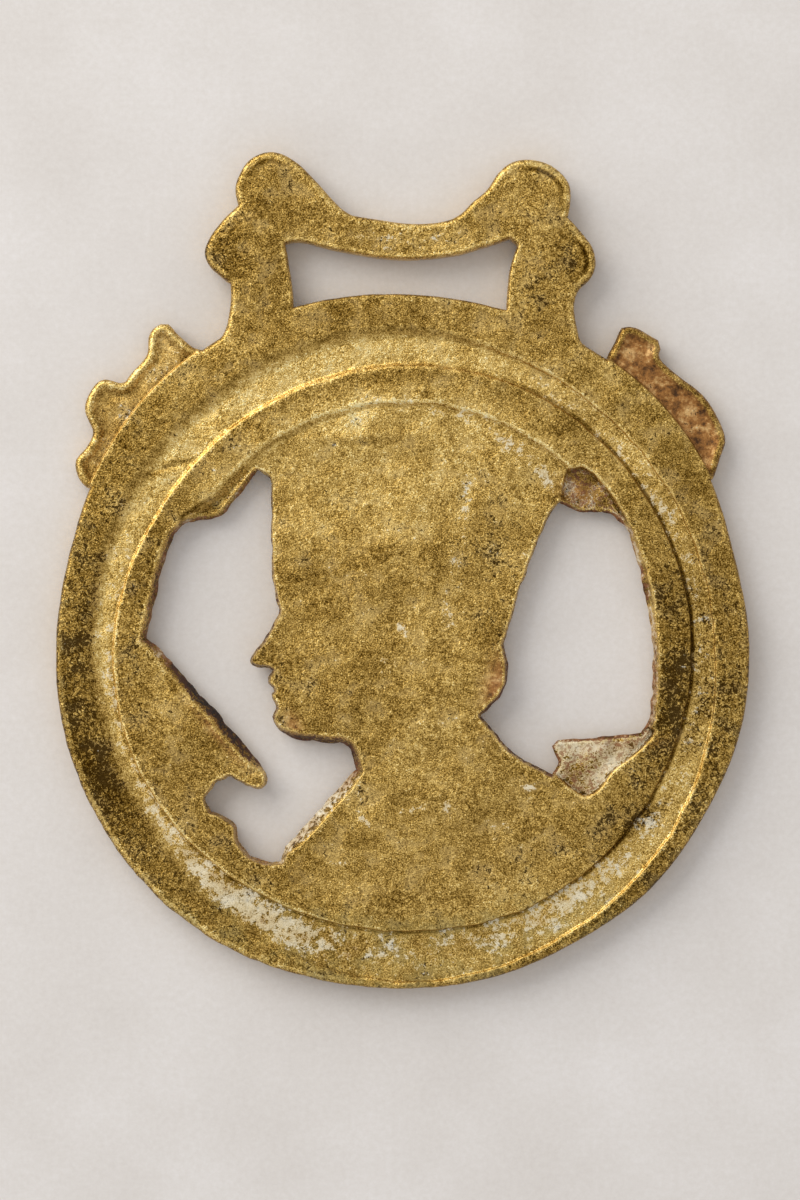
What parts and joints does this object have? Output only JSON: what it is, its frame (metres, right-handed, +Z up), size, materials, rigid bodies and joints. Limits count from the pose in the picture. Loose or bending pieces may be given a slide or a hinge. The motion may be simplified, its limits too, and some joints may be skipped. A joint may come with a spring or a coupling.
{
  "type": "horse brass",
  "caption": "Cast brass harness ornament: a ring round a pierced profile bust in a tall soft cap, with worn leaves and a strap loop on top.",
  "frame": {"origin": "centre of the bounding box on the surface that the brass lies on, under the ring's front moulding", "axes": "+Z up from the table, out of the plain cast back; +Y towards the strap loop; +X to the right when looking down on the back"},
  "size_m": [0.0798, 0.0964, 0.0036],
  "materials": {
    "old_brass": "matt sand-cast back, mottled gold and olive, pitted, with pale polish residue in the groove and brown crust in the openings"
  },
  "bodies": {
    "root": {"brass_casting": "old_brass"}
  },
  "joints": []
}
